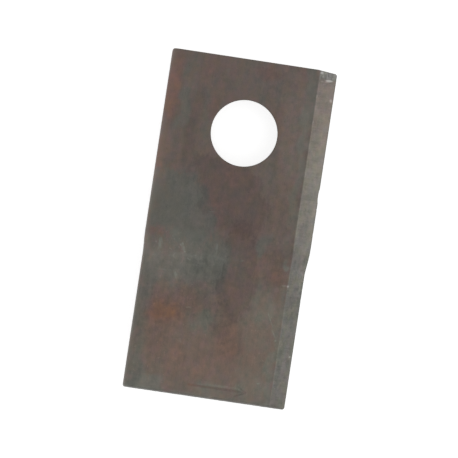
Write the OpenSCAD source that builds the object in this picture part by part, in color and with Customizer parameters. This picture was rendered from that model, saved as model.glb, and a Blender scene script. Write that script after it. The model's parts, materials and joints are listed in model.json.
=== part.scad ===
// Rotary mower blade: a steel knife with a pivot hole, one ground edge and a twisted tip.
// Millimetres. The origin is the middle of the pivot hole, X points to the cutting edge,
// Y to the inner end and Z up. The strip twists about the Y axis.

/* [Strip] */
// Length of the blade, end to end
blade_length = 102.7; // [80:0.1:140]
// Width of the strip, back edge to cutting edge
blade_width = 50; // [44:0.5:60]
// Thickness of the strip
strip_thickness = 4; // [3:0.25:6]

/* [Sheared ends] */
// Lean of the two sheared end faces, away from square
shear_lean = 8; // [0:0.5:12]
// Radius of both corners of the cutting edge, seen from above
corner_radius = 0.7; // [0.3:0.1:3]

/* [Pivot hole] */
// Diameter of the pivot hole
hole_diameter = 20; // [14:0.5:24]
// Chamfer at both mouths of the hole
hole_chamfer = 0.3; // [0.1:0.05:0.8]
// Distance from the hole's centre to the inner end
hole_to_end = 22.2; // [16:0.1:30]

/* [Cutting edge] */
// Width of the ground bevel, seen from above
bevel_width = 5.2; // [3:0.1:9]
// Height of the blunt land that the bevel leaves at the edge
edge_land = 1; // [0.6:0.1:2]
// Length of the pressed heel facet at the bevel's inner end
heel_length = 2.8; // [1:0.1:5]
// Slope of the heel facet, down from the bevel to the inner end
heel_slope = 8; // [1:0.5:15]

/* [Twist] */
// Distance from the hole's centre to the start of the twist
hole_to_twist = 30.5; // [20:0.5:45]
// Length of strip that the twist takes up
twist_length = 9.5; // [6:0.5:18]
// Turn of the tip, which lowers its cutting edge
twist_angle = 10; // [2:0.5:20]

/* [Hidden] */
$fn = 96;
half_width = blade_width / 2;
half_thickness = strip_thickness / 2;
// Steps along the twist, and the longest piece of the section's outline within a step
twist_steps = 20;
outline_step = 5;
// Facets round the back edge
round_steps = 12;
// How far a cutting solid reaches past what it cuts
spare = 2;
// How far a corner's arc stands out past tangent, so that it meets both faces at a slight angle
corner_proud = 0.02;

bevel_start = half_width - bevel_width;
bevel_slope = atan((strip_thickness - edge_land) / bevel_width);
hole_to_tip = blade_length - hole_to_end;
// Setback of a leaning end face at mid thickness, behind its outermost edge
lean_setback = half_thickness * tan(shear_lean);

// The strip's cross-section, with its middle at the origin: the land and the bevel of the cutting
// edge, and the back edge, which the rolling mill left fully round
section = [
    [half_width, -half_thickness],
    [half_width, edge_land - half_thickness],
    [bevel_start, half_thickness],
    for (step = [0 : round_steps])
        let (angle = 90 + 180 * step / round_steps)
            [half_thickness * (1 + cos(angle)) - half_width, half_thickness * sin(angle)]
];

// The same outline with its long sides divided, which keeps the twisted faces smooth
outline = [
    for (i = [0 : len(section) - 1])
        let (
            corner = section[i],
            side = section[(i + 1) % len(section)] - corner,
            pieces = ceil(norm(side) / outline_step)
        )
            for (j = [0 : pieces - 1]) corner + side * j / pieces
];

// Share of the whole turn at a share of the way along the twist, gentle at both ends
function eased(share) = share * share * (3 - 2 * share);

// Stations along the strip, each with its Y and its turn: the flat half, the twist, the tip half
stations = [
    [hole_to_end + spare, 0],
    for (step = [0 : twist_steps])
        let (share = step / twist_steps)
            [-hole_to_twist - twist_length * share, twist_angle * eased(share)],
    [-hole_to_tip - spare, twist_angle]
];

// A point of the section, placed at a station
function placed(point, station) = [
    point.x * cos(station[1]) + point.y * sin(station[1]),
    station[0],
    point.y * cos(station[1]) - point.x * sin(station[1])
];

// The twisted strip, longer than the blade: a ring of the outline at each station, joined to
// the next ring by triangles, and closed at both ends by a fan of them
module strip() {
    ring = len(outline);
    last = (len(stations) - 1) * ring;
    rings = [for (station = stations) for (point = outline) placed(point, station)];
    middles = [for (station = [stations[0], stations[len(stations) - 1]]) [0, station[0], 0]];
    skin = [
        for (j = [0 : ring - 1])
            let (next = (j + 1) % ring)
                each [
                    [len(rings), j, next],
                    for (a = [0 : ring : last - ring])
                        each [[a + j, a + ring + j, a + ring + next], [a + j, a + ring + next, a + next]],
                    [len(rings) + 1, last + next, last + j]
                ]
    ];
    polyhedron(concat(rings, middles), skin);
}

// What the shear takes away past an end that faces +Y: the end leans, its top edge
// outermost, and its corner at the cutting edge is rounded
module end_waste() {
    waste_width = blade_width + 2 * spare;
    waste_height = 2 * strip_thickness;
    arc_inset = corner_radius - corner_proud;
    rotate([-shear_lean, 0, 0]) {
        translate([-waste_width / 2, 0, -waste_height / 2])
            cube([waste_width, 2 * spare, waste_height]);
        translate([half_width - arc_inset, -arc_inset, 0])
            linear_extrude(waste_height, center = true)
                difference() {
                    square(corner_radius + spare);
                    circle(corner_radius);
                }
    }
}

// What the pivot hole takes away, with a chamfer at each mouth
module hole_waste() {
    radius = hole_diameter / 2;
    cylinder(h = strip_thickness + 2 * spare, r = radius, center = true);
    for (turn = [0, 180])
        rotate([turn, 0, 0])
            translate([0, 0, half_thickness - hole_chamfer])
                cylinder(h = hole_chamfer + spare, r1 = radius, r2 = radius + hole_chamfer + spare);
}

// What is missing above the heel facet, where the bevel meets the inner end
module heel_waste() {
    translate([bevel_start, hole_to_end - heel_length, half_thickness])
        rotate([0, bevel_slope, 0])
            rotate([-heel_slope, 0, 0])
                translate([-bevel_width, -spare, 0])
                    cube([2 * bevel_width + strip_thickness + spare, heel_length + 2 * spare, strip_thickness]);
}

module blade() {
    color([0.38, 0.34, 0.32])
        difference() {
            strip();
            hole_waste();
            heel_waste();
            translate([0, hole_to_end - lean_setback, 0])
                end_waste();
            rotate([0, twist_angle, 0])
                translate([0, lean_setback - hole_to_tip, 0])
                    rotate([180, 0, 0])
                        end_waste();
        }
}

blade();
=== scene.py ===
# %% [markdown]
# # A rotary mower blade, from flat blank to weathered knife
#
# The blade is one short length of steel strip. A press shears it to length and punches the pivot hole, a
# wheel grinds one long edge to a bevel, and a second press twists the tip while the steel is hot. Oven
# heat and damp storage then leave it brown, with blooms of rust and bare grey streaks.
#
# The lesson follows the same order. It cuts a flat blank, lets Geometry Nodes press, grind and twist it,
# and then builds up the oxidised finish in layers of procedural nodes.

# %% Load the packed model as the frame
import json
from math import atan, ceil, cos, pi, radians, sin, tan

import bmesh
import bpy
import numpy as np
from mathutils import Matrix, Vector
from mathutils.geometry import delaunay_2d_cdt


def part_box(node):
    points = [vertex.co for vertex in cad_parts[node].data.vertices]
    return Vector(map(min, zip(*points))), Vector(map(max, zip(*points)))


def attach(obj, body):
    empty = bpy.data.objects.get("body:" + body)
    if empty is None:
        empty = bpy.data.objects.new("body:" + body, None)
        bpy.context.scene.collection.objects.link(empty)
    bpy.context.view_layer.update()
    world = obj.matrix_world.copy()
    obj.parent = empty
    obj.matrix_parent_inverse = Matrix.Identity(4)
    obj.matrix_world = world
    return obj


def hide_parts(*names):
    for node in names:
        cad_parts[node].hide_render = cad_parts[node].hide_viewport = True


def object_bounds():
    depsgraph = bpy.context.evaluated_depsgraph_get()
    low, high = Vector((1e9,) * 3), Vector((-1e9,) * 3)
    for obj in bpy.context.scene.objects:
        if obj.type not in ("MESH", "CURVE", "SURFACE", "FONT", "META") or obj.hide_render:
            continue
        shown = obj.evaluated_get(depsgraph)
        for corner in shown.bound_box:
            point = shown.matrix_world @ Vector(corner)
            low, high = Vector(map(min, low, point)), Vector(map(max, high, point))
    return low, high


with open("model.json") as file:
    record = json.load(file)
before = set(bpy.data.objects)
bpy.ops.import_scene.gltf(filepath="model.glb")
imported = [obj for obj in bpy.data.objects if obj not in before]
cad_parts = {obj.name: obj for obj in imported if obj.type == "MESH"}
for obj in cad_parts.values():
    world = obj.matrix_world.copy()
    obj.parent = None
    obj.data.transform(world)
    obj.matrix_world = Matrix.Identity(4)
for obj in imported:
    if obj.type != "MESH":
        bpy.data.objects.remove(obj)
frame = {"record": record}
cad_low, cad_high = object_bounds()
print("CAD box from", [round(c, 5) for c in cad_low], "to", [round(c, 5) for c in cad_high])

# %% [markdown]
# ## The sizes
#
# A learner's first question is what drives the rest. The length, the width, the thickness and the hole
# come from the packed frame, so the picture model can't drift away from the solid one. The bevel and the
# twist are the same few numbers that a drawing of the blade would give. Everything is in millimetres
# until the last step, because millimetres are what a toolmaker thinks in.

# %% Sizes in millimetres
MM = 0.001
mounts = {mount["name"]: mount for mount in frame["record"]["mounts"]}
box_low, box_high = (Vector(corner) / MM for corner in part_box("blade"))
inner_end = box_high.y
tip_end = box_low.y
half_width = box_high.x
half_thickness = mounts["upper_face"]["pos_m"][2] / MM
hole_radius = mounts["pivot_hole"]["dims"]["r_mm"]

bevel_width = 5.2
edge_land = 1.0
bevel_start = half_width - bevel_width
bevel_fall = (2 * half_thickness - edge_land) / bevel_width
heel_length = 2.8
heel_start = inner_end - heel_length
heel_slope = radians(8)
heel_fall = tan(heel_slope) / cos(atan(bevel_fall))
shear_angle = radians(8)
shear_lean = tan(shear_angle)
corner_radius = 0.7
twist_start = -30.5
twist_length = 9.5
twist_angle = radians(10)
print(f"strip {2 * half_width:.2f} x {inner_end - tip_end:.2f} x {2 * half_thickness:.2f} mm")
print(f"pivot hole {2 * hole_radius:.1f} mm across")

# %% [markdown]
# ## The camera
#
# The picture was taken from straight above, with the blade leaning a little. A long lens far away keeps
# the sides of the strip nearly parallel, as they are in the picture. One pixel covers about 0.3 mm of
# steel, and that sets the focal length.

# %% Camera straight above the blade
picture_side = 458
pixel_size = 0.3
view_distance = 1500.0
blade_lean = radians(8.65)
view_centre = (-0.17, -29.06)

camera_lens = bpy.data.cameras.new("camera")
camera_lens.sensor_width = 36.0
camera_lens.lens = camera_lens.sensor_width * view_distance / (picture_side * pixel_size)
camera_lens.clip_end = 50.0
camera = bpy.data.objects.new("camera", camera_lens)
camera.location = (view_centre[0] * MM, view_centre[1] * MM, view_distance * MM)
camera.rotation_euler = (0.0, 0.0, blade_lean)
bpy.context.collection.objects.link(camera)
bpy.context.scene.camera = camera
print(f"camera {view_distance:.0f} mm up with a {camera_lens.lens:.0f} mm lens")

# %% [markdown]
# ## The blank
#
# In the shop the blade starts as a flat blank with a hole. It could be a cube with a boolean cut, but then
# the flat faces would be single polygons that can't bend or wear. So the blank is drawn as points seen
# from above, close together where the steel will bend sharply and wider apart on the plain face, and a
# Delaunay triangulation joins them. The same net makes the upper and the lower face.

# %% Loops round the edge and round the hole
# The loops lie closest together at an edge, so that it can be rolled over. The innermost one stops just
# short of the corner radius, where all the points of a corner would meet.
edge_step = 0.35
corner_steps = 6
roll_radius = 0.5
roll_steps = 4
inner_loop = corner_radius * 0.94
roll_gaps = [roll_radius * (1 - cos(pi / 2 * step / roll_steps)) for step in range(roll_steps + 1)]
roll_gaps.append(inner_loop)
setback = half_thickness * shear_lean
plan_top = inner_end - setback
plan_bottom = tip_end + setback


def blank_edge():
    """Points round the blank, counter-clockwise, each with the direction that points off the steel."""
    corner_x = half_width - corner_radius
    corner_top = plan_top - corner_radius
    corner_bottom = plan_bottom + corner_radius
    centres = [
        Vector((corner_x, corner_top)),
        Vector((-corner_x, corner_top)),
        Vector((-corner_x, corner_bottom)),
        Vector((corner_x, corner_bottom)),
    ]
    points = []
    directions = []
    for turn, centre in enumerate(centres):
        for step in range(corner_steps + 1):
            angle = pi / 2 * (turn + step / corner_steps)
            direction = Vector((cos(angle), sin(angle)))
            points.append(centre + direction * corner_radius)
            directions.append(direction)
        side_start = points[-1]
        side_end = centres[(turn + 1) % 4] + direction * corner_radius
        pieces = ceil((side_end - side_start).length / edge_step)
        for piece in range(1, pieces):
            points.append(side_start.lerp(side_end, piece / pieces))
            directions.append(direction)
    return np.array(points), np.array(directions)


edge_points, edge_directions = blank_edge()
hole_count = round(2 * pi * hole_radius / edge_step)
hole_angles = np.arange(hole_count) * 2 * pi / hole_count
hole_directions = np.column_stack([np.cos(hole_angles), np.sin(hole_angles)])
edge_loops = [edge_points - edge_directions * gap for gap in roll_gaps]
hole_loops = [hole_directions * (hole_radius + gap) for gap in roll_gaps]
print(f"{len(edge_points)} points round the edge, {hole_count} round the hole, {len(roll_gaps)} loops each")

# %% [markdown]
# The shop stamps an arrow near the tip to show which way the blade turns. It is three strokes of a blunt
# chisel. A boolean cut would leave sharp rims and a bump would not be a real groove, so the net itself is
# pressed in. That needs only the distance from a point to the nearest stroke, which also tells where the
# net has to be finer.

# %% Distances to the edges and to the arrow's strokes
arrow_y = -76.9
arrow_tail = -5.7
arrow_tip = 11.7
barb_length = 3.3
barb_angle = radians(27)


def distance_to_stroke(points, start, end):
    """Distance from each point to the straight stroke from start to end."""
    stroke = np.subtract(end, start)
    share = np.clip((points - start) @ stroke / (stroke @ stroke), 0, 1)
    return np.linalg.norm(points - start - share[:, None] * stroke, axis=1)


def arrow_distance(points):
    """Distance from each point to the nearest of the arrow's three strokes."""
    head = np.array((arrow_tip, arrow_y))
    barb = barb_length * np.array((cos(barb_angle), sin(barb_angle)))
    ends = [(arrow_tail, arrow_y), head - barb, head - barb * (1, -1)]
    return np.min([distance_to_stroke(points, head, np.array(end)) for end in ends], axis=0)


def edge_distance(points):
    """Distance from each point to the nearest edge of the blank, or to the hole."""
    middle = np.array((0, (plan_top + plan_bottom) / 2))
    core = np.array((half_width, (plan_top - plan_bottom) / 2)) - corner_radius
    beyond = np.abs(points - middle) - core
    outside = np.linalg.norm(np.maximum(beyond, 0), axis=1) + np.minimum(beyond.max(axis=1), 0)
    return np.minimum(corner_radius - outside, np.linalg.norm(points, axis=1) - hole_radius)


print(f"the arrow is {arrow_tip - arrow_tail:.1f} mm long")

# %% Points inside the loops
# The plain face has the widest net. It is finer round the back edge, along the crease where the bevel
# starts, on the bevel itself and, finest of all, round the arrow.
face_step = 0.7
face_rows = face_step * 0.866
arrow_step = 0.13
arrow_reach = 0.8
back_first = 0.9 - half_width
back_end = 2.4 - half_width
crease_step = 0.2
crease_reach = 0.3
bevel_step = 0.5


def lattice(x_from, x_to, y_from, y_to, x_step, y_step, stagger=False):
    """Rows of points that fill a rectangle, every other row moved by half a step if staggered."""
    rows = np.arange(y_from, y_to, y_step)
    columns = np.arange(x_from, x_to, x_step)
    x, y = np.meshgrid(columns, rows)
    if stagger:
        x[1::2] += x_step / 2
    return np.column_stack([x.ravel(), y.ravel()])


def full_length(x_from, x_to, x_step, y_step, stagger=False):
    """A lattice between two places across the strip, from end to end."""
    return lattice(x_from, x_to, plan_bottom, plan_top, x_step, y_step, stagger)


back = full_length(back_first, back_end, edge_step, edge_step)
face = full_length(back_end + 0.3, bevel_start - face_step, face_step, face_rows, stagger=True)
face = face[arrow_distance(face) > arrow_reach + arrow_step]
crease = full_length(bevel_start - crease_reach, bevel_start + crease_reach + 0.01, crease_step, edge_step)
bevel = full_length(bevel_start + 0.7, half_width - inner_loop, bevel_step, edge_step)
stamped = lattice(arrow_tail - 1, arrow_tip + 1, arrow_y - 3, arrow_y + 3, arrow_step, arrow_step)
stamped = stamped[arrow_distance(stamped) < arrow_reach]
inside = np.concatenate([back, face, crease, bevel, stamped])
inside = inside[edge_distance(inside) > inner_loop + edge_step / 2]
print(len(inside), "points inside the loops")

# %% Join the points into one flat net
# The triangulation also fills the hole and the thin slivers outside the innermost loop. Both lie nearer to
# an edge than that loop does, so the distance sorts them out.
plan = np.concatenate(edge_loops + hole_loops + [inside])
edge_count = len(edge_points)
hole_first = edge_count * len(edge_loops)
inside_first = hole_first + hole_count * len(hole_loops)
last_loop = len(roll_gaps) - 1
inner_edge = np.arange(edge_count) + edge_count * last_loop
outer_hole = np.arange(hole_count) + hole_first + hole_count * last_loop
closeness = 1e-7
sliver = 0.0001


def ring_quads(outer, inner):
    """Four-sided faces between two loops of point numbers, seen counter-clockwise from above."""
    return np.column_stack([outer, np.roll(outer, -1), np.roll(inner, -1), inner])


net_points = np.concatenate([inner_edge, outer_hole, np.arange(inside_first, len(plan))])
rims = [(i, (i + 1) % edge_count) for i in range(edge_count)]
rims += [(edge_count + i, edge_count + (i + 1) % hole_count) for i in range(hole_count)]
joined = delaunay_2d_cdt([Vector(plan[i]) for i in net_points], rims, [], 0, closeness, True)
triangles = net_points[np.array(joined[2])]
middles = plan[triangles].mean(axis=1)
triangles = triangles[edge_distance(middles) > inner_loop + sliver]

quads = []
for step in range(last_loop):
    outer = np.arange(edge_count) + edge_count * step
    quads.append(ring_quads(outer, outer + edge_count))
    nearer = np.arange(hole_count) + hole_first + hole_count * step
    quads.append(ring_quads(nearer + hole_count, nearer))
quads = np.concatenate(quads)
print(f"the net has {len(plan)} points, {len(triangles)} triangles and {len(quads)} quads")

# %% Lift the net into a closed blank
# The third coordinate is not a height yet. It is 1 on the upper face, 0 on the lower face and in between on
# the walls, and the node tree below turns it into a height.
wall_steps = 8
wall_levels = np.linspace(1, 0, wall_steps + 1)[1:-1]
count = len(plan)
points = [np.column_stack([plan, np.full(count, level)]) for level in (1.0, 0.0)]
faces = [triangles, quads, triangles[:, ::-1] + count, quads[:, ::-1] + count]
rim_loops = [(np.arange(edge_count), False), (np.arange(hole_count) + hole_first, True)]
next_point = 2 * count
for rim, is_hole in rim_loops:
    turn_over = slice(None, None, -1 if is_hole else 1)
    upper = rim
    for level in wall_levels:
        points.append(np.column_stack([plan[rim], np.full(len(rim), level)]))
        lower = np.arange(len(rim)) + next_point
        next_point += len(rim)
        faces.append(ring_quads(lower, upper)[:, turn_over])
        upper = lower
    faces.append(ring_quads(rim + count, upper)[:, turn_over])

blank_points = np.concatenate(points)
blank_mesh = bpy.data.meshes.new("blank")
blank_mesh.from_pydata(blank_points.tolist(), [], [face.tolist() for group in faces for face in group])
distances = {"edge_gap": edge_distance, "arrow_gap": arrow_distance}
for name, distance in distances.items():
    values = distance(blank_points[:, :2]).astype(np.float32)
    blank_mesh.attributes.new(name, "FLOAT", "POINT").data.foreach_set("value", values)
blank = bpy.data.objects.new("blank", blank_mesh)
bpy.context.collection.objects.link(blank)
print(f"blank of {len(blank_mesh.vertices)} points and {len(blank_mesh.polygons)} faces")

# %% [markdown]
# ## A bench for nodes
#
# Node trees built in a script soon drown in links. A small helper keeps them readable: each call adds one
# node, plugs in what it is given, and hands back the output. A plain number is typed into the socket, and
# another node's output is linked to it. The same bench serves geometry trees and materials, because both
# share Blender's math, noise and mapping nodes.

# %% The node bench
class Bench:
    """Adds nodes to one tree. Values go in as numbers or outputs, and an output comes back."""

    def __init__(self, tree):
        self.tree = tree

    def feed(self, socket, value):
        """Links an output to a socket, or types a plain value into it."""
        if isinstance(value, bpy.types.NodeSocket):
            self.tree.links.new(value, socket)
        else:
            socket.default_value = value

    def node(self, kind, inputs=None, **settings):
        """A new node of any kind."""
        made = self.tree.nodes.new(kind)
        for name, value in settings.items():
            setattr(made, name, value)
        for name, value in (inputs or {}).items():
            self.feed(made.inputs[name], value)
        return made

    def calc(self, operation, *values):
        """One step of arithmetic."""
        made = self.node("ShaderNodeMath", operation=operation)
        for socket, value in zip(made.inputs, values):
            self.feed(socket, value)
        return made.outputs[0]

    def total(self, *values):
        """The sum of two or more values."""
        result = values[0]
        for value in values[1:]:
            result = self.calc("ADD", result, value)
        return result

    def product(self, *values):
        """Two or more values multiplied."""
        result = values[0]
        for value in values[1:]:
            result = self.calc("MULTIPLY", result, value)
        return result

    def ramp(self, value, low, high, start=0.0, end=1.0, kind="SMOOTHSTEP"):
        """A soft step: start below low, end above high."""
        levels = {"Value": value, "From Min": low, "From Max": high, "To Min": start, "To Max": end}
        return self.node("ShaderNodeMapRange", levels, interpolation_type=kind).outputs[0]

    def swing(self, noise, size):
        """A noise turned into a push of about that size up and down."""
        return self.calc("MULTIPLY_ADD", noise, 2 * size, -size)

    def split(self, vector):
        """The three numbers of a vector."""
        return self.node("ShaderNodeSeparateXYZ", {"Vector": vector}).outputs

    def vector(self, x, y, z):
        """A vector of three numbers."""
        return self.node("ShaderNodeCombineXYZ", {"X": x, "Y": y, "Z": z}).outputs[0]

    def stretch(self, vector, scale):
        """A vector or colour with each of its three numbers multiplied by its own scale."""
        return self.node("ShaderNodeVectorMath", {0: vector, 1: scale}, operation="MULTIPLY").outputs[0]

    def dim(self, colour, share):
        """A colour made darker or lighter."""
        return self.node("ShaderNodeVectorMath", {0: colour, "Scale": share}, operation="SCALE").outputs[0]

    def noise(self, vector, scale, detail=2.0, seed=0.0, roughness=0.5, output="Fac"):
        """A noise between 0 and 1, with its own seed."""
        settings = {"Vector": vector, "W": seed, "Scale": scale, "Detail": detail, "Roughness": roughness}
        return self.node("ShaderNodeTexNoise", settings, noise_dimensions="4D").outputs[output]

    def between(self, share, first, second):
        """A number between first and second."""
        return self.node("ShaderNodeMix", {0: share, 2: first, 3: second}).outputs[0]

    def mix(self, share, first, second):
        """A colour between first and second."""
        made = self.node("ShaderNodeMix", data_type="RGBA")
        for socket, value in zip((made.inputs[0], made.inputs[6], made.inputs[7]), (share, first, second)):
            self.feed(socket, value)
        return made.outputs[2]

    def seen(self):
        """1 for what the camera sees, straight or by way of a mirror or glass, and 0 for other light."""
        rays = self.node("ShaderNodeLightPath").outputs
        mirrored = self.calc("MAXIMUM", rays["Is Camera Ray"], rays["Is Glossy Ray"])
        return self.calc("MAXIMUM", mirrored, rays["Is Transmission Ray"])


print("the bench has", [name for name in vars(Bench) if not name.startswith("_")])

# %% [markdown]
# ## Press, grind and twist
#
# The finished shape follows a rule, so one Geometry Nodes tree makes it. The rule is a height for every
# point: the upper face is the lower one of a flat plane and a sloping bevel plane, the back edge is fully
# round, the other edges are rolled over by a quarter circle, the arrow is pressed in, and both faces get
# the slight waviness of rolled strip. Only then the whole strip turns about its long axis, gently at first
# and gently at last. Modelling the twist by hand would bend the bevel too. Here it stays a true ground
# face all the way.

# %% The forming tree and its dials
# The round back edge keeps a narrow flat, so that the net has a wall there as well.
back_flat = 0.2
weathered_steel = bpy.data.materials.new("weathered_steel")
forming = bpy.data.node_groups.new("blade_forming", "GeometryNodeTree")
forming.interface.new_socket("Blank", in_out="INPUT", socket_type="NodeSocketGeometry")
forming.interface.new_socket("Blade", in_out="OUTPUT", socket_type="NodeSocketGeometry")
dials = {
    "Half thickness": half_thickness,
    "Bevel start": bevel_start,
    "Bevel fall": bevel_fall,
    "Heel start": heel_start,
    "Heel fall": heel_fall,
    "Edge roll": 0.28,
    "Back round": half_thickness - back_flat / 2,
    "Shear lean": shear_lean,
    "Arrow depth": 0.08,
    "Waviness": 0.05,
    "Edge wear": 0.22,
    "Twist start": twist_start,
    "Twist length": twist_length,
    "Twist angle": twist_angle,
    "Seed": 7.0,
}
dial_keys = {}
for name in dials:
    socket = forming.interface.new_socket(name, in_out="INPUT", socket_type="NodeSocketFloat")
    dial_keys[name] = socket.identifier
press = Bench(forming)
dial = press.node("NodeGroupInput").outputs
place = press.node("GeometryNodeInputPosition").outputs[0]
x, y, level = press.split(place)


def carried(name):
    """A number that every point of the blank carries."""
    return press.node("GeometryNodeInputNamedAttribute", {"Name": name}, data_type="FLOAT").outputs[0]


edge_gap = carried("edge_gap")
arrow_gap = carried("arrow_gap")
print(len(dials), "dials on the forming tree")

# %% Upper face: flat, bevel and heel
crease_softness = 0.04
scallop_depth = 0.05
past_bevel = press.calc("SUBTRACT", x, dial["Bevel start"])
bevel_drop = press.product(past_bevel, dial["Bevel fall"])
past_heel = press.calc("MAXIMUM", press.calc("SUBTRACT", y, dial["Heel start"]), 0.0)
heel_drop = press.product(past_heel, dial["Heel fall"])
ground_height = press.calc("SUBTRACT", dial["Half thickness"], press.total(bevel_drop, heel_drop))
upper_height = press.calc("SMOOTH_MIN", dial["Half thickness"], ground_height, crease_softness)
on_top = press.ramp(level, 0.95, 0.99)
ground = press.product(press.ramp(past_bevel, -0.12, 0.12), on_top)
heel = press.product(press.ramp(past_heel, 0.0, 0.3), ground)
wheel_lines = press.noise(press.stretch(place, (0.12, 1.6, 0.0)), 1.0, detail=2.0, seed=dial["Seed"])
scallops = press.product(press.swing(wheel_lines, scallop_depth / 2), ground)
print("the bevel falls", round(bevel_fall, 3), "mm in a millimetre")

# %% Pressed arrow and uneven faces
# The chisel pushes up a low rim beside its groove. The waviness is read with its third coordinate
# stretched, so the two faces don't share the same waves.
rim_share = 0.15
groove = press.ramp(arrow_gap, 0.42, 0.12)
rim = press.product(press.ramp(arrow_gap, 0.75, 0.5), press.ramp(arrow_gap, 0.3, 0.48))
pressed = press.calc("SUBTRACT", press.product(rim, rim_share), groove)
pressed = press.product(pressed, dial["Arrow depth"])
swell = press.noise(press.stretch(place, (1.0, 1.0, 30.0)), 0.12, detail=3.0, seed=dial["Seed"])
uneven = press.product(press.calc("SUBTRACT", swell, 0.5), dial["Waviness"])
upper_face = press.total(upper_height, pressed, scallops, uneven)
lower_face = press.calc("SUBTRACT", uneven, dial["Half thickness"])
print("the arrow is pressed", dials["Arrow depth"], "mm deep")

# %% Round back edge, rolled edges and walls
roll_share = 0.22


def rolled(radius, gap):
    """How far a face drops towards an edge that is rolled over with that radius."""
    inward = press.calc("MAXIMUM", press.calc("SUBTRACT", radius, gap), 0.0)
    upright = press.calc("SUBTRACT", press.product(radius, radius), press.product(inward, inward))
    return press.calc("SUBTRACT", radius, press.calc("SQRT", upright))


back_gap = press.calc("ADD", x, half_width)
back_drop = rolled(dial["Back round"], back_gap)
upper_face = press.calc("SUBTRACT", upper_face, back_drop)
lower_face = press.calc("ADD", lower_face, back_drop)
thickness = press.calc("SUBTRACT", upper_face, lower_face)
roll = press.calc("MINIMUM", dial["Edge roll"], press.product(thickness, roll_share))
drop = rolled(roll, edge_gap)
wall_height = press.calc("SUBTRACT", thickness, press.product(drop, 2.0))
z = press.total(lower_face, drop, press.product(wall_height, level))
wall = press.product(press.ramp(edge_gap, 0.3, 0.02), press.ramp(back_gap, 0.2, 0.7))
print("the back edge is round with a radius of", dials["Back round"], "mm")

# %% Leaning, torn ends and a worn cutting edge
# The shear wipes the upper part of an end smooth and tears the rest, so the lower part is rougher.
lean_reach = 3.0
torn_reach = 0.5
worn_reach = 1.4
nick_y = -15.3
nick_depth = 0.9
end_gap = press.calc("MINIMUM", press.calc("SUBTRACT", plan_top, y), press.calc("SUBTRACT", y, plan_bottom))
at_end = press.ramp(end_gap, lean_reach, 0.0)
lean = press.product(z, dial["Shear lean"], at_end)
torn_place = press.vector(x, press.product(y, 0.3), press.product(level, 5.0))
torn = press.noise(torn_place, 1.4, detail=4.0, seed=3.0)
torn_depth = press.ramp(level, 0.72, 0.5, 0.02, 0.16)
torn = press.product(press.calc("SUBTRACT", torn, 0.5), torn_depth, press.ramp(end_gap, torn_reach, 0.0))
y_end = press.total(y, lean, torn)

at_cut = press.ramp(x, half_width - worn_reach, half_width)
chatter = press.noise(press.vector(0.0, y, 0.0), 0.9, detail=3.0, seed=dial["Seed"])
nick_gap = press.calc("ABSOLUTE", press.calc("SUBTRACT", y, nick_y))
nick = press.ramp(nick_gap, 2.6, 0.8, 0.0, nick_depth)
worn = press.total(press.ramp(chatter, 0.55, 0.8, 0.0, 0.5), nick)
x_worn = press.calc("SUBTRACT", x, press.product(worn, at_cut, dial["Edge wear"]))
print(f"the nick takes {nick_depth * dials['Edge wear']:.2f} mm off the cutting edge")

# %% Twist, and shrink millimetres to metres
travelled = press.calc("DIVIDE", press.calc("SUBTRACT", dial["Twist start"], y_end), dial["Twist length"])
turned = press.product(press.ramp(travelled, 0.0, 1.0), dial["Twist angle"])
cosine = press.calc("COSINE", turned)
sine = press.calc("SINE", turned)
x_turned = press.total(press.product(x_worn, cosine), press.product(z, sine))
z_turned = press.calc("SUBTRACT", press.product(z, cosine), press.product(x_worn, sine))
formed = press.stretch(press.vector(x_turned, y_end, z_turned), (MM, MM, MM))
print(f"the tip turns {twist_angle / radians(1):.0f} degrees over {twist_length} mm")

# %% Marks that the finish will read, and the end of the tree
geometry = dial["Blank"]
marks = {
    "strip": ("FLOAT_VECTOR", press.vector(x_worn, y_end, z)),
    "ground": ("FLOAT", ground),
    "heel": ("FLOAT", heel),
    "sunk": ("FLOAT", press.product(groove, on_top)),
    "wall": ("FLOAT", wall),
}
for name, (kind, value) in marks.items():
    entry = {"Geometry": geometry, "Name": name, "Value": value}
    stored = press.node("GeometryNodeStoreNamedAttribute", entry, data_type=kind, domain="POINT")
    geometry = stored.outputs[0]
geometry = press.node("GeometryNodeSetPosition", {"Geometry": geometry, "Position": formed}).outputs[0]
geometry = press.node("GeometryNodeSetShadeSmooth", {"Geometry": geometry}).outputs[0]
geometry = press.node("GeometryNodeRealizeInstances", {"Geometry": geometry}).outputs[0]
coat = {"Geometry": geometry, "Material": weathered_steel}
geometry = press.node("GeometryNodeSetMaterial", coat).outputs[0]
press.feed(press.node("NodeGroupOutput").inputs["Blade"], geometry)
print(len(forming.nodes), "nodes in the forming tree")

# %% Run the press and keep a plain mesh
pressing = blank.modifiers.new("pressing", "NODES")
pressing.node_group = forming
for name, value in dials.items():
    pressing[dial_keys[name]] = value
evaluated = blank.evaluated_get(bpy.context.evaluated_depsgraph_get())
blade_mesh = bpy.data.meshes.new_from_object(evaluated)
bpy.data.objects.remove(blank)
blade_mesh.name = "mower_blade"
blade = bpy.data.objects.new("mower_blade", blade_mesh)
bpy.context.collection.objects.link(blade)
blade_mesh.calc_loop_triangles()
print(f"blade of {len(blade_mesh.vertices)} points and {len(blade_mesh.loop_triangles)} triangles")

# %% Measure the mesh
# A closed mesh has two faces at every edge, and a positive volume means that the faces point outwards.
measured = bmesh.new()
measured.from_mesh(blade_mesh)
open_edges = [edge for edge in measured.edges if not edge.is_manifold]
print(f"{len(open_edges)} open edges, {measured.calc_volume(signed=True) / MM ** 3:.0f} cubic millimetres")
measured.free()

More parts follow.
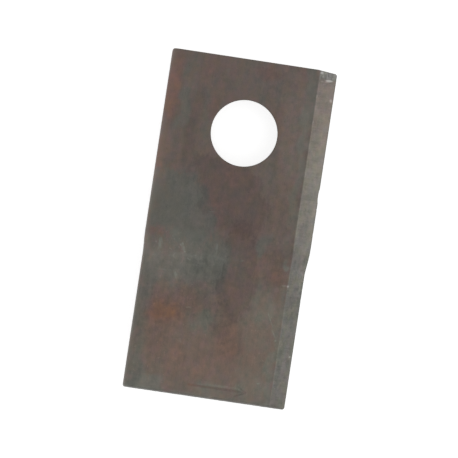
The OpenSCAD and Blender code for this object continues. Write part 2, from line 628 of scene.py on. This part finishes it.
# %% [markdown]
# ## The weathered finish
#
# The steel was never painted. Its colour is a skin of oxide: grey-green where the skin is thin, brown where
# it is thicker, and orange where water stood and rust began. One flat colour would look like plastic, and
# a noise between two colours would look like camouflage. So the material first works out how thick the
# skin is at each point, from soft patches and several sizes of mottling, and one colour ramp then turns
# the thickness into a colour. The patches are laid on the flat strip, before the twist, so they turn with
# the steel.

# %% Places on the strip
weathered_steel.use_nodes = True
weathered_steel.node_tree.nodes.clear()
finish = Bench(weathered_steel.node_tree)
strip = finish.node("ShaderNodeAttribute", attribute_name="strip").outputs["Vector"]
across, along, height = finish.split(strip)
masks = {}
for name in ("ground", "heel", "sunk", "wall"):
    masks[name] = finish.node("ShaderNodeAttribute", attribute_name=name).outputs["Fac"]
print("masks from the press:", list(masks))

# %% Mottling in several sizes
def drawn_out(stretch, detail, seed, roughness=0.5):
    """A noise on the strip that is longer along an axis with a smaller stretch."""
    return finish.noise(finish.stretch(strip, stretch), 1.0, detail, seed, roughness)


clouds_per_mm = 0.06
specks_per_mm = 4.0
clouds = finish.noise(strip, clouds_per_mm, detail=3.0, seed=1.0)
mottle = drawn_out((0.36, 0.2, 0.36), detail=5.0, seed=2.0, roughness=0.55)
flakes = drawn_out((1.5, 0.9, 1.5), detail=4.0, seed=3.0, roughness=0.6)
speckle = finish.noise(strip, specks_per_mm, detail=2.0, seed=4.0)
streaks = drawn_out((1.1, 0.05, 1.1), detail=4.0, seed=5.0, roughness=0.6)
blotch = finish.noise(strip, 0.62, detail=3.0, seed=12.0)
print(f"mottling from {1 / clouds_per_mm:.0f} mm clouds down to {1 / specks_per_mm:.2f} mm specks")

# %% Patches of thick and thin oxide
# Each patch has its middle on the strip, its half sizes, its turn in degrees, how soft its border is, how
# much thicker the oxide is there, and how much lighter the surface looks.
flat_half_patches = [
    ((-1.5, -18.5), (15.0, 8.8), -52, 0.12, 0.14, -0.15),
    ((-16.0, -24.2), (14.0, 8.5), -42, 0.14, -0.30, -0.05),
    ((-23.0, -22.0), (3.0, 6.0), 0, 0.60, 0.16, 0.0),
    ((-23.8, -12.0), (2.2, 10.0), 0, 0.60, 0.14, 0.22),
    ((-23.2, 9.6), (2.6, 10.0), 0, 0.50, 0.40, 0.10),
    ((-18.4, 7.0), (1.8, 9.0), 0, 0.50, -0.18, 0.0),
    ((-15.4, -2.0), (2.0, 12.0), 0, 0.60, 0.06, -0.14),
    ((-13.0, 18.0), (3.0, 3.2), 0, 0.60, 0.18, 0.02),
    ((-10.4, 6.2), (1.8, 3.6), 0, 0.60, 0.30, 0.0),
    ((5.2, 19.0), (3.4, 2.2), 0, 0.60, 0.28, 0.0),
    ((9.5, 7.0), (1.8, 3.0), 0, 0.60, 0.08, 0.0),
    ((15.0, 2.0), (4.0, 16.0), 0, 0.40, 0.0, 0.16),
    ((14.0, -19.0), (4.0, 8.0), 0, 0.50, 0.16, 0.04),
    ((18.3, -5.0), (1.3, 27.0), 0, 0.60, -0.18, 0.08),
]
twist_patches = [
    ((4.2, -43.0), (5.2, 15.5), 0, 0.13, 0.09, -0.16),
    ((-5.5, -47.5), (7.0, 9.5), 0, 0.50, -0.14, -0.19),
    ((-20.0, -35.4), (7.0, 4.0), 0, 0.60, 0.12, 0.20),
    ((-13.0, -39.5), (13.0, 7.5), 4, 0.40, -0.26, 0.04),
    ((-2.4, -39.5), (3.0, 7.0), 0, 0.50, -0.16, -0.12),
    ((-19.0, -31.9), (5.0, 1.2), 5, 0.50, 0.18, 0.0),
    ((-9.0, -38.2), (10.0, 0.7), 2, 0.60, -0.06, 0.09),
    ((-19.4, -44.0), (4.2, 5.5), 0, 0.60, 0.12, 0.0),
    ((10.5, -32.0), (2.6, 3.0), 0, 0.40, -0.22, 0.0),
    ((14.2, -38.4), (5.5, 5.0), 20, 0.45, 0.13, 0.0),
    ((17.4, -40.0), (2.6, 3.0), 0, 0.45, 0.24, 0.02),
    ((11.4, -47.0), (2.8, 8.5), -14, 0.60, 0.0, -0.07),
    ((12.5, -51.0), (4.0, 6.0), 0, 0.50, -0.14, 0.02),
    ((19.0, -36.8), (1.5, 0.9), -15, 0.40, -0.30, 0.14),
]
tip_half_patches = [
    ((0.0, -66.0), (26.0, 20.0), 0, 0.30, 0.10, 0.08),
    ((-7.0, -70.5), (11.5, 7.5), 0, 0.60, 0.12, 0.08),
    ((-13.0, -55.0), (10.0, 5.5), 8, 0.50, 0.20, 0.0),
    ((-16.0, -56.8), (4.2, 2.9), 8, 0.60, 0.32, -0.10),
    ((-4.2, -58.0), (4.3, 3.3), 0, 0.50, -0.30, -0.05),
    ((1.5, -56.0), (3.4, 4.4), 0, 0.60, 0.0, -0.14),
    ((4.5, -62.6), (4.2, 4.6), 0, 0.50, 0.23, -0.05),
    ((8.0, -68.5), (9.0, 5.0), 0, 0.60, 0.10, 0.025),
    ((-18.5, -64.0), (4.0, 4.5), 0, 0.60, 0.11, -0.04),
    ((14.0, -63.0), (5.4, 17.0), 0, 0.50, -0.02, 0.06),
    ((19.0, -64.0), (1.7, 17.0), 0, 0.60, -0.26, 0.0),
    ((14.0, -75.5), (6.5, 4.5), 0, 0.50, -0.14, 0.04),
    ((1.0, -77.5), (5.0, 2.5), 0, 0.50, -0.20, 0.02),
    ((-19.0, -78.5), (7.0, 2.6), 0, 0.50, -0.28, 0.0),
    ((-23.0, -62.0), (2.6, 21.0), 0, 0.50, -0.20, -0.12),
]
bevel_patches = [
    ((22.5, -27.0), (3.0, 6.0), 0, 0.50, 0.0, -0.06),
    ((22.5, -36.5), (3.0, 4.5), 0, 0.40, 0.0, 0.09),
    ((22.5, -47.5), (3.0, 6.0), 0, 0.50, 0.0, -0.05),
]
patches = flat_half_patches + twist_patches + tip_half_patches + bevel_patches
print(len(patches), "patches of oxide")

# %% Ovals and drifting borders
# A slow noise pushes the patches about, and the mottling frays their borders, so no oval shows as one.
# An oval also ends at a depth, so that it doesn't come out on the underside.
drift_reach = 4.0
raggedness = 0.45
oval_depth = 2.5
drift = finish.noise(strip, 0.16, detail=2.0, seed=7.0, output="Color")
drift_span = {0: drift, 1: (2 * drift_reach, 2 * drift_reach, 0.0), 2: (-drift_reach, -drift_reach, 0.0)}
drift = finish.node("ShaderNodeVectorMath", drift_span, operation="MULTIPLY_ADD").outputs[0]
drifted = finish.node("ShaderNodeVectorMath", {0: strip, 1: drift}, operation="ADD").outputs[0]
ragged = finish.calc("MULTIPLY_ADD", finish.total(mottle, flakes), raggedness, -raggedness)


def oval(places, middle, half_size, turn):
    """How far each place is from the middle of an oval on the upper side, 1 on its rim."""
    surface = half_thickness - max(0.0, middle[0] - bevel_start) * bevel_fall
    mapping = {
        "Vector": places,
        "Location": (*middle, surface),
        "Rotation": (0.0, 0.0, radians(turn)),
        "Scale": (*half_size, oval_depth),
    }
    local = finish.node("ShaderNodeMapping", mapping, vector_type="TEXTURE").outputs[0]
    return finish.node("ShaderNodeVectorMath", {0: local}, operation="LENGTH").outputs["Value"]


print("borders drift by up to", drift_reach, "mm")

# %% Oxide thickness and lightness, layer by layer
usual_thickness = 0.48
usual_lightness = 1.0
thick = [
    usual_thickness,
    finish.swing(mottle, 0.44),
    finish.swing(flakes, 0.12),
    finish.swing(blotch, 0.16),
    finish.swing(clouds, 0.2),
]
texture = finish.total(
    finish.swing(streaks, 0.14),
    finish.swing(flakes, 0.20),
    finish.swing(blotch, 0.36),
    finish.swing(mottle, 0.28),
)
flat_half_texture = finish.ramp(across, -6.0, 8.0, 0.6, 0.9)
texture_strength = finish.ramp(along, -26.0, -42.0, flat_half_texture, 1.0)
calm_middle = finish.ramp(oval(strip, (3.5, -32.0), (7.0, 24.0), 0), 1.3, 0.6, 0.0, 0.25)
texture_strength = finish.calc("SUBTRACT", texture_strength, calm_middle)
# Painted highlight: the round back edge is painted lighter towards its rim, where it catches the light.
back_edge_highlight = finish.ramp(across, back_end, 0.1 - half_width, 0.0, 0.45)
light = [
    usual_lightness,
    finish.swing(speckle, 0.16),
    finish.product(texture, texture_strength),
    back_edge_highlight,
]


def lay(cover, thicker, lighter):
    """Adds to the oxide's thickness and to the lightness where the cover is 1."""
    thick.append(finish.product(cover, thicker))
    light.append(finish.product(cover, lighter))


for middle, half_size, turn, softness, thicker, lighter in patches:
    away = finish.total(oval(drifted, middle, half_size, turn), ragged)
    lay(finish.ramp(away, 1.0 + softness, 1.0 - softness), thicker, lighter)
print(len(thick), "layers of oxide")

# %% [markdown]
# Handling leaves its own marks on top: a few long scratches from other blades in the crate, and pale flecks
# where the scale popped off when the hot steel was twisted. A painted picture could hold them, but it would
# blur close up, so nodes draw them. A scratch is an oval so thin that it looks like a line, with its border
# frayed by the flakes and specks that it crossed. A few of these thin pale ovals are painted highlights: on
# the crease, along the heel and on the rim above the arrow. The flecks are the highest peaks of a fine noise,
# kept to the twist. In a few spots near the cutting edge and at the heel a near-white is painted, partly bare
# steel where the oxide is knocked off and partly painted glints.

# %% Scratches, bare marks and painted highlights
# Each has its middle on the strip, its half sizes, its turn in degrees, and how pale it is.
scratches_and_highlights = [
    ((16.0, -54.0), (2.6, 0.22), -64, 0.22),
    ((17.8, -58.4), (2.2, 0.18), -60, 0.20),
    ((-6.0, -24.7), (1.4, 0.22), 4, 0.16),
    ((-9.0, -54.0), (1.0, 0.34), 10, 0.30),
    ((-10.3, -64.3), (0.9, 0.6), -50, 0.20),
    ((5.0, -37.9), (1.0, 0.3), 15, 0.18),
    ((18.6, -60.2), (0.4, 0.4), 0, 0.35),
    ((18.8, -43.5), (1.2, 0.35), 5, 0.30),
    ((-7.5, 17.6), (0.8, 1.2), 20, 0.10),
    # A painted highlight along the heel's edge.
    ((21.6, 18.8), (1.6, 0.30), 0, 0.30),
    ((15.5, -73.6), (0.8, 0.25), 8, 0.30),
    # Painted highlights on the rim above the arrow's shaft and its upper barb.
    ((4.5, -76.1), (5.5, 0.5), 1, 0.14),
    ((9.6, -75.9), (2.0, 0.5), -33, 0.16),
    ((-13.3, -36.2), (0.8, 2.0), 25, 0.30),
    ((-20.3, -36.3), (0.8, 2.6), -8, 0.28),
    ((-14.5, -44.8), (0.6, 1.5), 20, 0.30),
    ((-3.1, -35.4), (0.5, 1.8), 0, 0.25),
    ((-18.5, -43.9), (3.0, 0.25), 2, 0.14),
    # Two painted highlights on the crease.
    ((19.9, 14.2), (0.3, 0.5), 0, 0.45),
    ((19.9, 6.2), (0.25, 0.6), 0, 0.35),
]
bare_and_glint_marks = [
    # The two at the heel and the dot low on the cutting edge are painted glints; the one high on the cutting
    # edge is a chip of bare steel.
    ((22.9, 19.3), (1.4, 0.45), 3, 0.28),
    ((20.4, 21.4), (0.6, 0.45), -20, 0.24),
    ((24.3, 13.5), (0.5, 0.6), 20, 0.16),
    ((19.9, -43.5), (0.45, 0.4), 0, 0.16),
    ((24.1, -64.4), (0.35, 0.35), 0, 0.18),
]
scraped_thinner = 0.77
scraped_lighter = 1.1
fray = finish.total(finish.swing(flakes, 1.6), finish.swing(speckle, 0.5))
for middle, half_size, turn, pale in scratches_and_highlights:
    away = finish.total(oval(strip, middle, half_size, turn), fray)
    lay(finish.ramp(away, 1.1, 0.2), -scraped_thinner * pale, scraped_lighter * pale)
bare_and_glint_spots = []
for middle, half_size, turn, pale in bare_and_glint_marks:
    bare_and_glint_spots.append(finish.ramp(oval(strip, middle, half_size, turn), 1.1, 0.4, 0.0, pale))
bare_steel_and_glints = finish.total(*bare_and_glint_spots)
print(len(scratches_and_highlights), "scratches and", len(bare_and_glint_marks), "bare marks")

# %% Flecks, grit and rust in the arrow
twist_middle = (-15.5, -37.0)
popped = finish.ramp(finish.noise(strip, 1.1, detail=2.0, seed=8.0), 0.6, 0.72)
at_twist = finish.ramp(oval(strip, twist_middle, (11.0, 6.0), 0), 1.0, 0.6)
lay(finish.product(popped, at_twist), -0.2, 0.35)
grit = finish.noise(strip, 1.7, detail=1.0, seed=10.0)
pale_grit = finish.ramp(along, -20.0, -60.0, 0.09, 0.3)
light.append(finish.product(finish.ramp(grit, 0.66, 0.76), pale_grit))
light.append(finish.ramp(grit, 0.34, 0.24, 0.0, -0.15))
thick.append(finish.product(masks["sunk"], finish.ramp(across, 4.0, -1.0, 0.08, 0.22)))
print("flecks round", twist_middle)

# %% [markdown]
# Two places have a look of their own. At the tip the face ends in thin pale and dark wisps along the line of
# the shear. The underside isn't seen in the picture, so it gets no patches or scratches, only broad clouds
# of thicker and thinner oxide.

# %% Tip and underside
tip_wisps = drawn_out((0.45, 2.6, 0.45), detail=3.0, seed=14.0)
at_tip = finish.ramp(along, tip_end + 1.8, tip_end + 0.6)
lay(at_tip, -0.2, finish.swing(tip_wisps, 0.45))
underside = finish.ramp(height, -1.0, -1.7)
under_clouds = finish.noise(strip, 0.075, detail=3.0, seed=15.0)
lay(underside, finish.swing(under_clouds, 0.9), finish.swing(under_clouds, 0.25))
oxide_thickness = finish.total(*thick)
lightness = finish.total(*light)
print(len(thick), "layers of oxide and", len(light), "of lightness")

# %% Oxide colours
def linear(share):
    """One channel from 0 to 1 as a picture program shows it, as Blender's linear light."""
    return share / 12.92 if share <= 0.04045 else ((share + 0.055) / 1.055) ** 2.4


def tone(red, green, blue):
    """A colour as a picture program shows it, from 0 to 255, as Blender's linear light."""
    return [linear(channel / 255) for channel in (red, green, blue)] + [1.0]


def colour_ramp(value, stops):
    """A colour ramp with the given stops, each a position and a colour."""
    ramp = finish.node("ShaderNodeValToRGB", {"Fac": value})
    while len(ramp.color_ramp.elements) < len(stops):
        ramp.color_ramp.elements.new(0.5)
    for element, (position, colour) in zip(ramp.color_ramp.elements, stops):
        element.position = position
        element.color = colour
    return ramp.outputs["Color"]


thickest = 1.3
oxide_stops = [
    (0.0, tone(89, 90, 84)),
    (0.3 / thickest, tone(90, 87, 81)),
    (0.5 / thickest, tone(94, 84, 78)),
    (0.75 / thickest, tone(97, 80, 73)),
    (1.0 / thickest, tone(104, 79, 69)),
    (1.0, tone(112, 79, 57)),
]
oxide = colour_ramp(finish.calc("DIVIDE", oxide_thickness, thickest), oxide_stops)
print(len(oxide_stops), "oxide colours")

# %% [markdown]
# The grinding wheel crossed the edge at a right angle, so the bevel shows fine lines across it and almost
# none along it. Where the wheel left the face it raised a bright burr. Its pale line is partly the burr's
# own bare steel and partly a painted highlight, and the face just before the crease is painted a little
# darker, so a pale line and a dark line run side by side down the whole blade. The short heel at the inner
# end was pressed, not ground. It stays rough and grey. A second material on these faces would end in a hard
# line, so they are masks in the same material, which the press has stored on the points.

# %% The ground bevel
wheel = drawn_out((0.2, 2.2, 0.2), detail=5.0, seed=6.0, roughness=0.7)
rubbed = drawn_out((0.5, 0.35, 0.5), detail=4.0, seed=9.0, roughness=0.6)
bevel_stops = [
    (0.0, tone(93, 92, 88)),
    (0.30, tone(96, 96, 92)),
    (0.52, tone(104, 102, 97)),
    (0.70, tone(109, 106, 99)),
    (0.84, tone(108, 100, 95)),
    (1.0, tone(101, 92, 88)),
]
tip_to_end = finish.ramp(along, tip_end, inner_end, kind="LINEAR")
bevel_colour = colour_ramp(finish.total(tip_to_end, finish.swing(rubbed, 0.1)), bevel_stops)
tint = finish.mix(finish.ramp(rubbed, 0.38, 0.62), tone(103, 105, 97), tone(111, 101, 93))
bevel_colour = finish.mix(0.3, bevel_colour, tint)
colour = finish.mix(masks["ground"], oxide, bevel_colour)
heel_colour = finish.mix(finish.ramp(flakes, 0.36, 0.64), tone(98, 98, 94), tone(118, 118, 113))
colour = finish.mix(masks["heel"], colour, heel_colour)
print(len(bevel_stops), "steel colours along the bevel")

# %% Burr with its painted highlight, dark line and grime
past_crease = finish.calc("SUBTRACT", across, bevel_start)


def band(low, high, soft):
    """1 between two distances past the bevel's start, fading over the soft width on both sides."""
    rise = finish.ramp(past_crease, low - soft, low + soft)
    return finish.product(rise, finish.ramp(past_crease, high + soft, high - soft))


broken = finish.product(finish.ramp(mottle, 0.35, 0.6, 0.3, 1.0), finish.ramp(along, -48.0, -30.0, 0.25, 1.0))
# The burr: a pale line on the bevel side of the crease, partly bright steel and partly painted highlight.
burr_highlight = finish.product(band(0.1, 0.4, 0.15), masks["ground"], broken, 0.06)
# A slightly darker line on the face just before the crease.
dark_line_before_crease = finish.product(band(-0.7, -0.2, 0.25), -0.04)
toward_edge = finish.ramp(across, bevel_start, half_width, -0.08, 0.17, kind="LINEAR")
grimy = finish.ramp(oval(strip, (24.0, -39.0), (1.6, 9.0), 0), 1.2, 0.6)
edge_grime = finish.product(grimy, finish.swing(flakes, 0.5))
wheel_shade = finish.total(finish.swing(wheel, 0.26), finish.swing(rubbed, 0.3), toward_edge)
wheel_shade = finish.product(wheel_shade, masks["ground"])
# The arrow's groove and the walls are painted a little darker.
darker_groove_and_walls = finish.total(finish.product(masks["sunk"], -0.14), finish.product(masks["wall"], -0.05))
shade = finish.total(lightness, wheel_shade, burr_highlight, dark_line_before_crease, edge_grime, darker_groove_and_walls)
print(f"burr and gutter on both sides of {bevel_start:.1f} mm")

# %% [markdown]
# Hot steel also takes on temper colours, from straw to plum. On this blade they are only a breath over the
# oxide, a little yellower here and a little more violet there, and weakest where the oxide is thin. So they
# are a tint that multiplies the colour, and not a layer that covers it.

# %% Temper colours
# Each patch has its middle on the strip, its half sizes, its turn in degrees, and how plum it is.
temper_patches = [
    ((13.5, -62.0), (7.0, 18.0), 0, -0.4),
    ((-2.0, -20.0), (15.0, 12.0), -45, 0.25),
    ((0.0, 15.0), (26.0, 9.0), 0, 0.15),
    ((-6.0, -66.0), (20.0, 14.0), 0, -0.35),
    ((15.0, -20.0), (4.0, 7.0), 0, -0.4),
]
straw = (0.985, 1.0, 0.92, 1.0)
plum = (1.015, 0.98, 1.04, 1.0)
temper = drawn_out((0.42, 0.32, 0.42), detail=3.0, seed=11.0)
lively = finish.ramp(oxide_thickness, 0.2, 0.6, 0.3, 1.0)
tempers = [finish.calc("MULTIPLY_ADD", finish.ramp(temper, 0.36, 0.64, -0.5, 0.5), lively, 0.5)]
for middle, half_size, turn, strength in temper_patches:
    tempers.append(finish.ramp(oval(drifted, middle, half_size, turn), 1.4, 0.6, 0.0, strength))
temper_tint = finish.mix(finish.total(*tempers), straw, plum)
colour = finish.dim(finish.stretch(colour, temper_tint), shade)
# Near-white where the marks are: partly bare steel, partly painted glints.
colour = finish.mix(bare_steel_and_glints, colour, tone(215, 215, 211))
print(len(temper_patches), "patches of temper colour")

# %% [markdown]
# A shear and a punch leave the same kind of wall. The tool wipes the upper part smooth as it enters, and the
# rest of the thickness tears off with fine lines in the direction of the cut. So the walls at both ends and
# in the hole get a lighter upper band, a rougher lower one, and lines that run from face to face.

# %% Sheared and punched walls
smooth_from = 0.3
smooth_above = 0.7
shear_lines = drawn_out((2.4, 2.4, 0.2), detail=4.0, seed=13.0, roughness=0.65)
burnished = finish.ramp(finish.total(height, finish.swing(mottle, 0.8)), smooth_from, smooth_above)
torn_grain = finish.product(finish.swing(flakes, 0.5), finish.calc("SUBTRACT", 1.0, burnished))
wall_shade = finish.total(finish.swing(shear_lines, 0.45), torn_grain, finish.product(burnished, 0.16), 0.92)
colour = finish.dim(colour, finish.between(masks["wall"], 1.0, wall_shade))
wall_relief = finish.product(finish.total(finish.swing(shear_lines, 2.0), torn_grain), masks["wall"])
print("walls are wiped smooth above", smooth_above, "mm and torn below", smooth_from, "mm")

# %% [markdown]
# Colour alone doesn't make steel. Thick oxide is matt, thin oxide lets more of the metal shine through, and
# the ground bevel is nearly bare. One shine for all of it would make rust gleam like steel, so roughness and
# metal both follow the thickness that gave the colour. The grain of the surface is only hundredths of a
# millimetre deep. That is too fine for the net, so a bump stands in for it.

# %% Roughness, relief and the shader
relief_depth = 0.04 * MM
roughness = finish.total(
    finish.ramp(oxide_thickness, 0.2, 0.9, 0.42, 0.62),
    finish.swing(flakes, 0.1),
    finish.product(masks["ground"], -0.06),
    finish.product(masks["wall"], 0.2),
)
bare_share = finish.ramp(oxide_thickness, 1.0, 0.4, 0.25, 0.6)
metallic = finish.between(masks["ground"], bare_share, 0.85)
metallic = finish.product(metallic, finish.calc("MULTIPLY_ADD", masks["wall"], -0.6, 1.0))
relief = finish.total(
    finish.swing(speckle, 0.5),
    finish.swing(streaks, 0.5),
    finish.swing(flakes, 0.6),
    finish.product(finish.swing(wheel, 1.2), masks["ground"]),
    wall_relief,
)
bump = finish.node("ShaderNodeBump", {"Height": relief, "Strength": 0.5, "Distance": relief_depth}).outputs[0]
looks = {"Base Color": colour, "Roughness": roughness, "Metallic": metallic, "Normal": bump}
steel = finish.node("ShaderNodeBsdfPrincipled", looks).outputs[0]
finish.feed(finish.node("ShaderNodeOutputMaterial").inputs["Surface"], steel)
print(len(weathered_steel.node_tree.nodes), "nodes in the finish")

# %% [markdown]
# ## Floor and light
#
# The blade lies on a plain white table under soft light. A white floor would throw too much light back at
# the steel. So the floor is matt grey and has a light of its own, which only the camera, mirrors and glass
# see: it reads as white and still keeps the shadow. A large soft lamp on the right makes the bevel a shade
# lighter than the face.

# %% Floor
floor_reach = 4.0
floor_gap = 0.2 * MM
floor_glow = 0.77
floor_grey = (0.5, 0.5, 0.5, 1.0)
floor_z = cad_low[2] - floor_gap
corners = [(side_x * floor_reach, side_y * floor_reach, floor_z)
           for side_x, side_y in ((-1, -1), (1, -1), (1, 1), (-1, 1))]
floor_mesh = bpy.data.meshes.new("floor")
floor_mesh.from_pydata(corners, [], [(0, 1, 2, 3)])
floor = bpy.data.objects.new("floor", floor_mesh)
bpy.context.collection.objects.link(floor)

white_table = bpy.data.materials.new("white_table")
white_table.use_nodes = True
white_table.node_tree.nodes.clear()
table = Bench(white_table.node_tree)
matt = table.node("ShaderNodeBsdfDiffuse", {"Color": floor_grey}).outputs[0]
glow = table.node("ShaderNodeEmission", {"Strength": table.product(table.seen(), floor_glow)}).outputs[0]
both = table.node("ShaderNodeAddShader", {0: matt, 1: glow}).outputs[0]
table.feed(table.node("ShaderNodeOutputMaterial").inputs["Surface"], both)
floor_mesh.materials.append(white_table)
print("floor at", round(floor_z / MM, 2), "mm")

# %% World and lamp
sky_light = 0.75
world = bpy.data.worlds.new("studio")
world.use_nodes = True
world.node_tree.nodes.clear()
sky = Bench(world.node_tree)
brightness = sky.ramp(sky.seen(), 0.0, 1.0, sky_light, 1.0, kind="LINEAR")
white_sky = {"Color": (1.0, 1.0, 1.0, 1.0), "Strength": brightness}
background = sky.node("ShaderNodeBackground", white_sky).outputs[0]
sky.feed(sky.node("ShaderNodeOutputWorld").inputs["Surface"], background)
bpy.context.scene.world = world

soft_lamp = bpy.data.lights.new("soft_lamp", "AREA")
soft_lamp.size = 1.2
soft_lamp.energy = 3.0
lamp = bpy.data.objects.new("soft_lamp", soft_lamp)
lamp.location = (0.75, -0.1, 0.7)
lamp_aim = Vector((0.0, -0.03, 0.0)) - lamp.location
lamp.rotation_euler = lamp_aim.to_track_quat("-Z", "Y").to_euler()
bpy.context.collection.objects.link(lamp)
bpy.context.scene.view_settings.view_transform = "Standard"
print(f"a lamp of {soft_lamp.energy:.0f} watts, {lamp_aim.length:.2f} m away")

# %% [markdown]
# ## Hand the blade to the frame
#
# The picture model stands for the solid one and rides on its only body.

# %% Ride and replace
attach(blade, "root")
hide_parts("blade")
